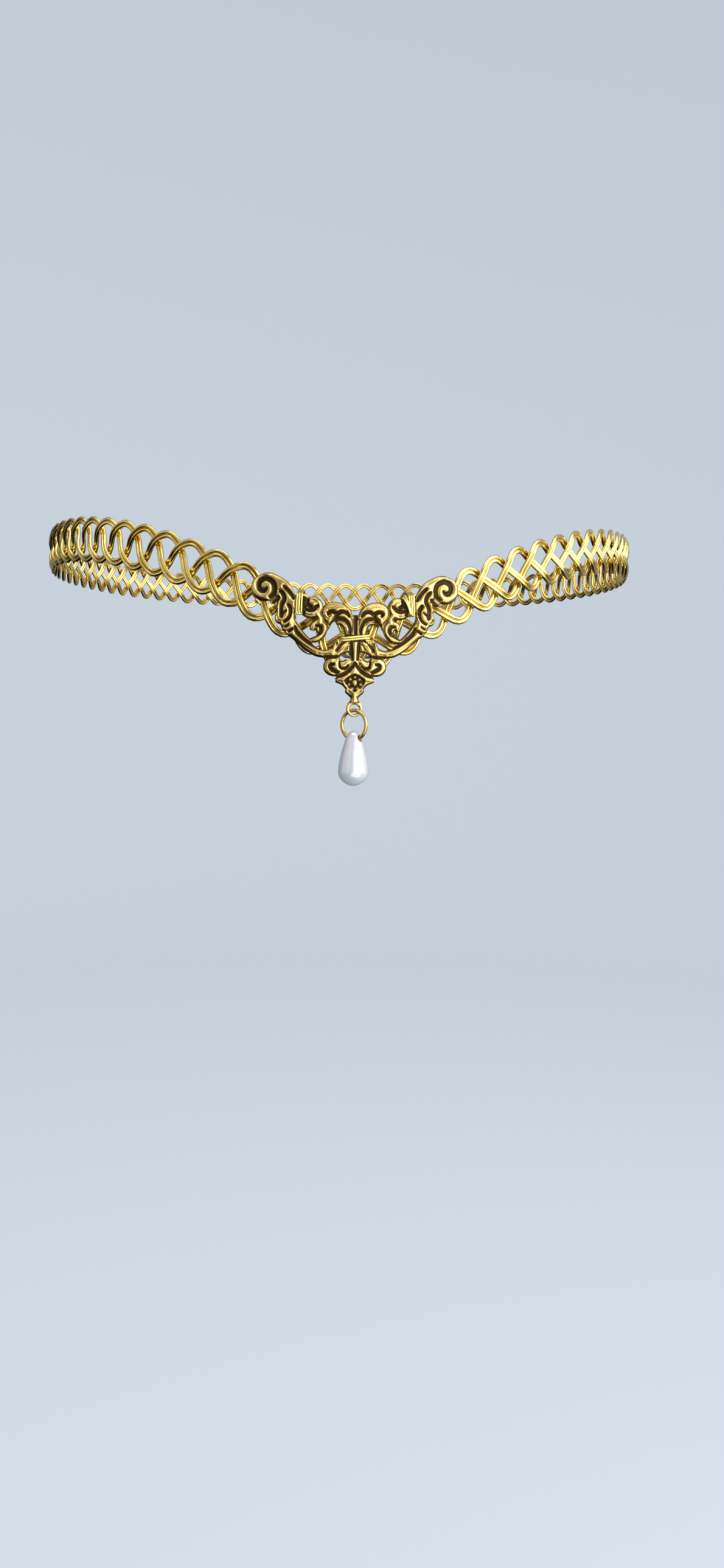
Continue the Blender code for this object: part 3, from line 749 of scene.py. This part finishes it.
def fused_plate():
    """All the bars and discs as one skin, softened as a casting is."""
    bm = bmesh.new()
    for rows in CENTRE_PLATE.values():
        bar(bm, rows, 1)
    for side in (1, -1):
        for name, rows in PLATE.items():
            if name in ROUND_PLATES:
                u, v, radius = rows[0]
                disc(bm, side * u, v, radius)
            else:
                bar(bm, rows, side)
        for rows in RIMS.values():
            bar(bm, rows, side)
    eyelet(bm)
    bmesh.ops.recalc_face_normals(bm, faces=bm.faces)
    holder = put_in_scene("ornament_holder", mesh_of(bm, "ornament_flat"))
    remesh = holder.modifiers.new("fuse", "REMESH")
    remesh.mode = "VOXEL"
    remesh.voxel_size = GRAIN
    soften = holder.modifiers.new("soften", "SMOOTH")
    soften.factor = SOFTENING
    soften.iterations = SOFTENING_ROUNDS
    return settled_mesh(holder)


def smooth_step(values, low, high):
    share = np.clip((values - low) / (high - low), 0.0, 1.0)
    return share * share * (3.0 - 2.0 * share)


def nearness(spots, rows):
    """How far inside a tapered path each spot lies, and its distance in half widths."""
    path = np.array(smooth_path(rows, BAR_STEPS))
    inside = np.full(len(spots), -math.inf)
    widths = np.full(len(spots), math.inf)
    for start, end in zip(path, path[1:]):
        step = end[:2] - start[:2]
        share = np.clip((spots - start[:2]) @ step / (step @ step), 0.0, 1.0)
        distance = np.hypot(*(spots - start[:2] - share[:, None] * step).T)
        half = start[2] + share * (end[2] - start[2])
        inside = np.maximum(inside, half - distance)
        widths = np.minimum(widths, distance / half)
    return inside, widths


def sunk_along(spots, paths, bank):
    """1 on the floors of the paths, 0 outside them."""
    widths = [nearness(spots, rows)[1] for rows in paths.values()]
    return 1.0 - smooth_step(np.min(widths, axis=0), *bank)


def diamond_recess(spots):
    """1 on the floor of a sunk kite, less where its tall boss and low petals stand."""
    across, along = spots[:, 0], spots[:, 1] - DIAMOND_MIDDLE
    stretched = np.where(along > 0.0, along / DIAMOND_UPPER_SHARE, along)
    reach = np.abs(across) ** DIAMOND_ROUNDING + np.abs(stretched) ** DIAMOND_ROUNDING
    sunk = 1.0 - smooth_step(reach ** (1.0 / DIAMOND_ROUNDING) / DIAMOND_HALF, *DIAMOND_BANK)
    bumps = list(BOSS)
    for petal in range(PETALS):
        angle = full_turn(petal + PETAL_TURN, PETALS)
        u, v = PETAL_REACH * math.cos(angle), PETAL_REACH * math.sin(angle) - PETAL_DROP
        bumps.append((u, v, PETAL_RADIUS, PETAL_HEIGHT))
    for u, v, radius, height in bumps:
        apart = np.hypot(across - u, along - v) / radius
        sunk *= 1.0 - height * np.sqrt(np.clip(1.0 - apart**2, 0.0, 1.0))
    return sunk


def relief(flat):
    """How far gone the edge, a groove and a seat are at each flat point, 0 to 1."""
    spots = np.stack([np.abs(flat[:, 0]), flat[:, 1]], axis=1)
    plates = (*PLATE.values(), *RIMS.values(), *CENTRE_PLATE.values())
    inside = np.max([nearness(spots, rows)[0] for rows in plates], axis=0)
    edge = 1.0 - np.clip(inside / EDGE_REACH, 0.0, 1.0)
    groove = np.maximum(sunk_along(spots, GROOVES, GROOVE_BANK), diamond_recess(spots))
    return edge**2, groove, sunk_along(spots, SEATS, SEAT_BANK)


def ornament_mesh():
    """Sinks the relief into the fused plate, marks it for the patina and for the painted shade
    under the bindings, and bends it to the oval.
    """
    mesh = fused_plate()
    flat = np.empty(len(mesh.vertices) * 3)
    mesh.vertices.foreach_get("co", flat)
    flat = flat.reshape(-1, 3)
    edge, groove, seat = relief(flat)
    ring = flat[:, 1] < -EYELET_DROP + EYELET_RADIUS + EYELET_ABOVE
    edge[ring], groove[ring] = 0.0, 0.0
    fall = EDGE_FALL * edge + GROOVE_DEPTH * groove * (1.0 - edge)
    fall = np.where(ring, 0.0, np.maximum(fall, SEAT_DEPTH * seat))
    flat[:, 2] -= (flat[:, 2] - BACK) / (TOP - BACK) * fall
    # The binding seats take the dark groove colour as painted shade under the bindings
    groove = np.maximum(groove, SEAT_PAINTED_SHADE * seat)
    for label, values in (("edge", edge), ("groove", groove)):
        layer = mesh.attributes.new(label, "FLOAT", "POINT")
        layer.data.foreach_set("value", values.astype(np.float32))
    mesh.vertices.foreach_set("co", (bend_rows(flat) * MM).ravel())
    return mesh


# The bindings, in the ornament's axes. The centre turns lie one above another in front of the
# plate and side by side behind it

CENTRE_TURN = [
    ("front", 2.1, 0.1, 2.80), ("front", 2.75, 0.1, 2.5), ("back", 3.05, 0.1, 1.7),
    ("back", 3.2, -0.8, 1.39), ("back", 3.5, -2.4, 1.39), ("back", 3.6, -3.1, 0.8),
    ("back", 3.4, -3.4, -0.9), ("back", 2.6, -3.6, -1.45), ("back", -0.9, -3.6, -1.45),
    ("back", -1.9, -3.3, -1.1), ("back", -2.4, -3.0, 0.3), ("back", -2.5, -2.6, 1.2),
    ("back", -2.8, -0.8, 1.39), ("back", -3.05, 0.1, 1.7), ("front", -2.75, 0.1, 2.5),
    ("front", -2.1, 0.1, 2.80),
]
SIDE_TURN = [
    (11.2, 5.15, 2.83), (11.1, 8.3, 2.83), (11.1, 8.85, 2.45), (11.1, 9.4, 1.3), (11.1, 9.6, 0.4),
    (11.1, 9.3, -0.5), (11.15, 8.5, -0.8), (11.35, 5.6, -1.0), (11.45, 4.95, 0.2),
    (11.25, 4.85, 1.6), (11.2, 4.8, 2.45),
]
LOOSE_TURNS = [
    (11.1, 5.0, 3.0), (10.6, 6.6, 3.2), (9.9, 8.3, 2.95), (9.8, 8.7, 2.4), (9.9, 8.6, 1.4),
    (10.6, 5.4, 1.2), (10.9, 4.7, 2.3), (10.8, 5.2, 3.05), (10.2, 6.8, 3.25), (9.5, 8.1, 3.0),
    (9.3, 8.3, 2.6),
]


def binding_wire(name, points, radius):
    path = [bend(*point) for point in smooth_path(points, BINDING_STEPS)]
    return round_wire(name, [path], radius, BINDING_SIDES, closed=False)


def centre_binding(name):
    points = []
    for turn in TURNS:
        offset = turn * CENTRE_PITCH
        for zone, u, v, w in CENTRE_TURN:
            outwards = offset if u > 0.0 else -offset
            points.append((u, v + offset, w) if zone == "front" else (u + outwards, v, w))
    return binding_wire(name, points, CENTRE_WIRE)


def side_binding(name, side):
    """Upright turns round the link; on the right, loose ones slant over them to the bud."""
    points = []
    for turn in TURNS:
        for u, v, w in SIDE_TURN:
            points.append((side * (u + turn * SIDE_PITCH), v, w))
    if side > 0.0:
        points += LOOSE_TURNS
    return binding_wire(name, points, SIDE_WIRE)


# The drop


def drop_places():
    """The ring's middle, the level line in its plane, and the middle of the pearl's hole."""
    top = bend(0.0, -EYELET_DROP, EYELET_MIDDLE) - UP * RING_SEAT
    centre = top - UP * RING_RADIUS
    across = Vector((math.sin(RING_TURN), -math.cos(RING_TURN), 0.0))
    pivot = centre - UP * (RING_RADIUS - PEARL_HOLE_LIFT)
    return centre, across, pivot


def ring_mesh(name):
    centre, across, _ = drop_places()
    angles = [full_turn(index, RING_STEPS) for index in range(RING_STEPS)]
    points = [centre + (across * math.sin(a) + UP * math.cos(a)) * RING_RADIUS for a in angles]
    return round_wire(name, [points], RING_WIRE, RING_SIDES)


def pearl_body():
    """A teardrop turned about the upright through its hole's middle."""
    bm = bmesh.new()
    chain = [bm.verts.new((0.0, 0.0, PEARL_TOP_ABOVE_HOLE))]
    rows = smooth_path([(0.0, 0.0)] + PEARL_PROFILE + [(PEARL_HEIGHT, 0.0)], PEARL_STEPS)
    for depth, radius in rows[1:-1]:
        across = max(radius, PEARL_LEAST_RADIUS)
        chain.append(bm.verts.new((across, 0.0, PEARL_TOP_ABOVE_HOLE - depth)))
    chain.append(bm.verts.new((0.0, 0.0, PEARL_TOP_ABOVE_HOLE - PEARL_HEIGHT)))
    edges = [bm.edges.new(pair) for pair in zip(chain, chain[1:])]
    bmesh.ops.spin(
        bm, geom=chain + edges, axis=(0, 0, 1), cent=(0, 0, 0), steps=PEARL_SIDES,
        angle=2.0 * math.pi, use_merge=True,
    )
    bmesh.ops.remove_doubles(bm, verts=bm.verts, dist=PEARL_WELD)
    bmesh.ops.recalc_face_normals(bm, faces=bm.faces)
    return mesh_of(bm, "pearl_body")


def pearl_drill(across):
    """A long rod along the ring's wire where it passes through the pearl."""
    bm = bmesh.new()
    heading = Matrix.Rotation(math.atan2(across.y, across.x), 4, "Z")
    bmesh.ops.create_cone(
        bm, cap_ends=True, segments=DRILL_SIDES, radius1=PEARL_HOLE_RADIUS,
        radius2=PEARL_HOLE_RADIUS, depth=DRILL_LENGTH,
        matrix=heading @ Matrix.Rotation(math.pi / 2.0, 4, "Y"),
    )
    return mesh_of(bm, "pearl_drill")


def pearl_mesh():
    _, across, pivot = drop_places()
    pearl = put_in_scene("pearl_body", pearl_body())
    drill = put_in_scene("pearl_drill", pearl_drill(across))
    cut = pearl.modifiers.new("drill", "BOOLEAN")
    cut.operation = "DIFFERENCE"
    cut.object = drill
    cut.solver = "EXACT"
    mesh = settled_mesh(pearl)
    bpy.data.objects.remove(drill)
    mesh.transform(Matrix.Scale(MM, 4) @ Matrix.Translation(pivot))
    return mesh


# Camera, lights and backdrop


def set_camera():
    side = Vector((math.cos(CAMERA_YAW), -math.sin(CAMERA_YAW), 0.0))
    ahead = Vector((math.sin(CAMERA_YAW), math.cos(CAMERA_YAW), 0.0))
    sight = ahead * math.cos(CAMERA_PITCH) + UP * math.sin(CAMERA_PITCH)
    crown = ahead * -math.sin(CAMERA_PITCH) + UP * math.cos(CAMERA_PITCH)
    right = side * math.cos(CAMERA_ROLL) + crown * math.sin(CAMERA_ROLL)
    top = crown * math.cos(CAMERA_ROLL) - side * math.sin(CAMERA_ROLL)
    back = ahead * (HALF_DEPTH + CAMERA_DISTANCE)
    data = bpy.data.cameras.new("camera")
    data.sensor_width = SENSOR
    data.lens = SENSOR * FOCAL_PIXELS / PICTURE_PIXELS
    data.clip_start = 0.01
    data.clip_end = 20.0
    camera = put_in_scene("camera", data)
    camera.matrix_world = Matrix((right, top, -sight)).transposed().to_4x4()
    camera.location = (side * CAMERA_RIGHT - back + UP * CAMERA_HEIGHT) * MM
    bpy.context.scene.camera = camera
    bpy.context.scene.view_settings.view_transform = "Standard"


def area_light(name, place, aim, width, height, power, colour):
    data = bpy.data.lights.new(name, "AREA")
    data.shape = "RECTANGLE"
    data.size = width
    data.size_y = height
    data.energy = power
    data.color = colour
    light = put_in_scene(name, data)
    light.location = place
    light.rotation_euler = (Vector(aim) - Vector(place)).to_track_quat("-Z", "Y").to_euler()


def backdrop_mesh():
    """A floor that curves up into a wall all the way round."""
    bm = bmesh.new()
    middle = bm.verts.new((0.0, 0.0, FLOOR_HEIGHT))
    corner = bm.verts.new((STAGE_RADIUS, 0.0, FLOOR_HEIGHT))
    bm.edges.new((middle, corner))
    rim = bmesh.ops.spin(
        bm, geom=[corner], axis=(0, -1, 0), steps=STAGE_CURVE_STEPS, angle=math.radians(90.0),
        cent=(STAGE_RADIUS, 0.0, FLOOR_HEIGHT + STAGE_CURVE),
    )["geom_last"]
    tops = [item for item in rim if isinstance(item, bmesh.types.BMVert)]
    wall = bmesh.ops.extrude_vert_indiv(bm, verts=tops)
    bmesh.ops.translate(bm, vec=(0.0, 0.0, STAGE_WALL), verts=wall["verts"])
    bmesh.ops.spin(
        bm, geom=list(bm.verts) + list(bm.edges), axis=(0, 0, 1), cent=(0, 0, 0),
        steps=STAGE_SIDES, angle=2.0 * math.pi, use_merge=True,
    )
    bmesh.ops.remove_doubles(bm, verts=bm.verts, dist=STAGE_WELD)
    bmesh.ops.recalc_face_normals(bm, faces=bm.faces)
    bmesh.ops.reverse_faces(bm, faces=bm.faces)
    mesh = mesh_of(bm, "backdrop")
    mesh.shade_smooth()
    return mesh


def set_world():
    """A dim room, lighter overhead and on the right, that only reflections show."""
    world = bpy.data.worlds.new("room")
    world.use_nodes = True
    tree = world.node_tree
    back = tree.nodes["Background"]
    direction = tree.nodes.new("ShaderNodeTexCoord").outputs["Generated"]
    parts = tree.nodes.new("ShaderNodeSeparateXYZ")
    tree.links.new(direction, parts.inputs[0])
    right, up = Field(tree, parts.outputs[0]), Field(tree, parts.outputs[2])
    glow = (ROOM_GLOW + ROOM_GLOW_RIGHT * right + ROOM_GLOW_UP * up).clamp()
    back.inputs["Color"].default_value = ROOM_COLOUR
    tree.links.new(glow.socket, back.inputs["Strength"])
    bpy.context.scene.world = world


def set_stage():
    mesh = backdrop_mesh()
    mesh.materials.append(backdrop_paint())
    backdrop = put_in_scene("backdrop", mesh)
    backdrop.visible_glossy = False
    for light in LIGHTS:
        area_light(*light)
    set_world()


def main():
    set_camera()
    set_stage()
    gold = gilt_wire("gilt_wire", *STRAND_GILT)
    bright = gilt_wire("binding_wire", *BINDING_GILT)
    coppery = gilt_wire("ring_gold", *RING_GILT)
    strands = ("strand_a", "strand_b", "strand_c")
    for index, strand in enumerate(strands):
        name = strand + "_wires"
        mesh = strand_wires(name, lead=index / len(strands), seed=3.0 * index)
        add_piece(name, mesh, gold, "circlet", strand)
    mesh = ornament_mesh()
    add_piece("scroll_ornament", mesh, aged_brass(), "circlet", "ornament")
    mesh = centre_binding("centre_binding_wire")
    add_piece("centre_binding_wire", mesh, bright, "circlet", "centre_binding")
    for binding, side in (("left_binding", -1.0), ("right_binding", 1.0)):
        name = binding + "_wire"
        add_piece(name, side_binding(name, side), bright, "circlet", binding)
    mesh = ring_mesh("jump_ring_wire")
    add_piece("jump_ring_wire", mesh, coppery, "ring", "jump_ring")
    mesh = pearl_mesh()
    add_piece("teardrop_pearl", mesh, pearl_coat(), "drop", "pearl_drop", PEARL_SMOOTH)


main()
